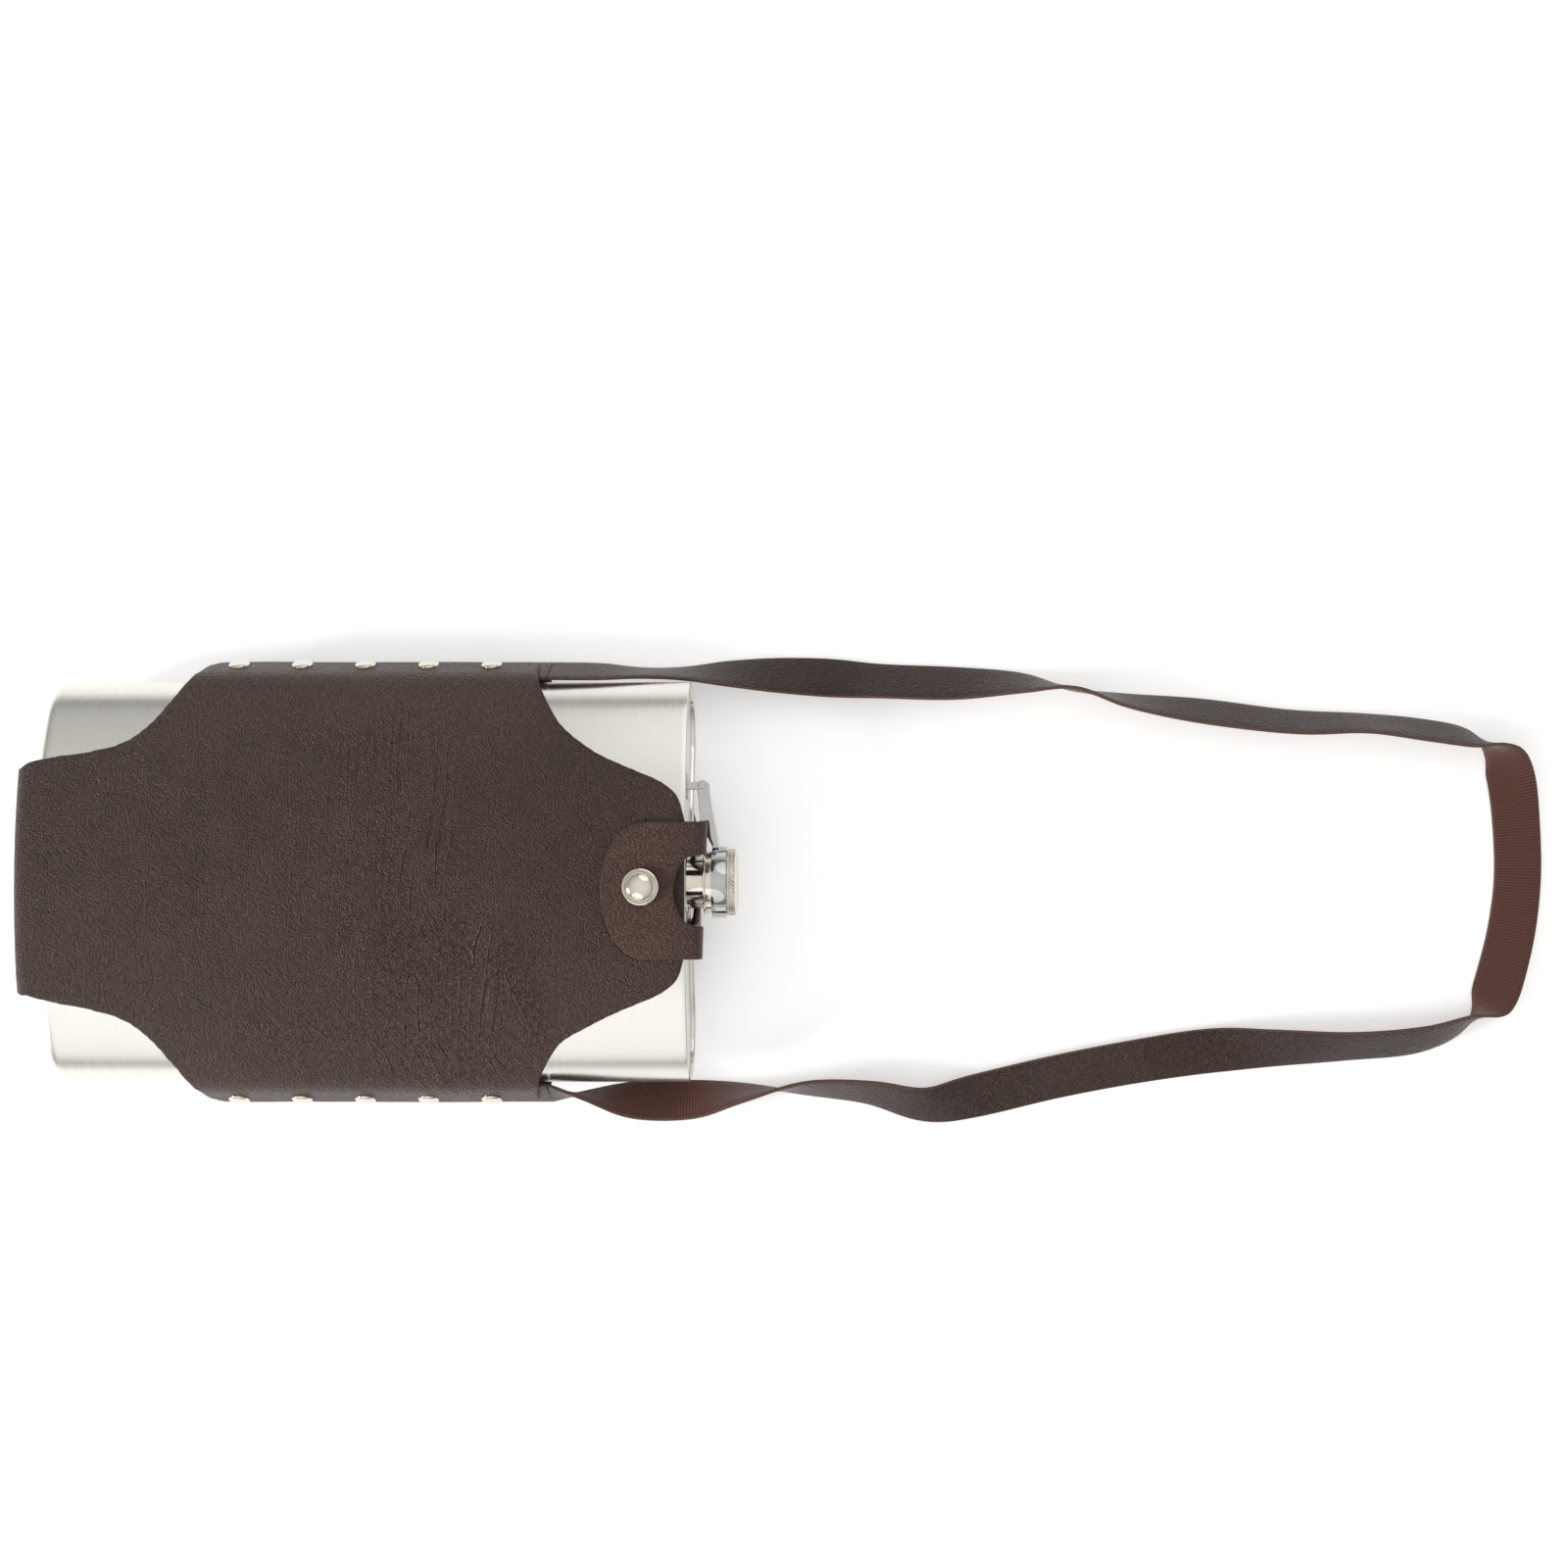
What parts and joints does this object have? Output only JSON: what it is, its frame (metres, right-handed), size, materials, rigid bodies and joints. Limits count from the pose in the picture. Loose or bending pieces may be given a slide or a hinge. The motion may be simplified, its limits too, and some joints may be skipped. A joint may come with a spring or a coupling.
{
  "type": "canteen",
  "caption": "Large curved steel flask with a captive screw cap, in a riveted leather sleeve with a snap flap and a flat shoulder strap.",
  "frame": {"origin": "centre of the canteen's underside, without the loose strap: the canteen lies on its back panel", "axes": "+X from the base to the cap, +Y across its width, +Z out of the front panel"},
  "size_m": [0.6459, 0.2037, 0.0661],
  "materials": {
    "steel": "satin, brushed across",
    "chrome": "polished",
    "nickel": "polished nickel plate",
    "leather": "dark brown, fine pebbled grain, slight sheen",
    "gasket": "matt black"
  },
  "bodies": {
    "canteen": {"flask_body": "steel", "base_plate": "steel", "top_plate": "steel", "neck": "nickel", "hinge_bracket": "chrome", "hinge_pin": "chrome", "sleeve_front": "leather", "sleeve_base": "leather", "sleeve_back": "leather", "flap_bridge": "leather", "snap_stud": "nickel", "snap_post": "nickel", "rivet_caps": "nickel", "rivet_posts": "nickel", "strap_end_left": "leather", "strap_end_right": "leather", "shoulder_strap": "leather"},
    "arm": {"cap_arm": "chrome"},
    "retainer": {"cap_retainer": "nickel"},
    "cap": {"screw_cap": "nickel", "cap_gasket": "gasket"},
    "flap": {"flap_tongue": "leather", "snap_cap": "nickel", "snap_socket": "nickel"}
  },
  "joints": [
    {"name": "arm_swing", "type": "hinge", "parent": "canteen", "child": "arm", "pos_m": [0.1335, 0.0402, 0.03598], "axis": [0, 0, 1], "range_deg": [0, 135]},
    {"name": "cap_lift", "type": "slide", "parent": "arm", "child": "retainer", "axis": [1, 0, 0], "range_m": [0, 0.0022]},
    {"name": "cap_turn", "type": "hinge", "parent": "retainer", "child": "cap", "pos_m": [0.1376, 0, 0.03598], "axis": [1, 0, 0], "range_deg": [0, 450]},
    {"name": "flap_open", "type": "hinge", "parent": "canteen", "child": "flap", "pos_m": [0.1296, -0.0035, 0.0607], "axis": [0, 1, 0], "range_deg": [0, 150]}
  ],
  "couplings": [
    {"joint": "cap_lift", "follows": "cap_turn", "m_per_rad": 0.00027852}
  ]
}
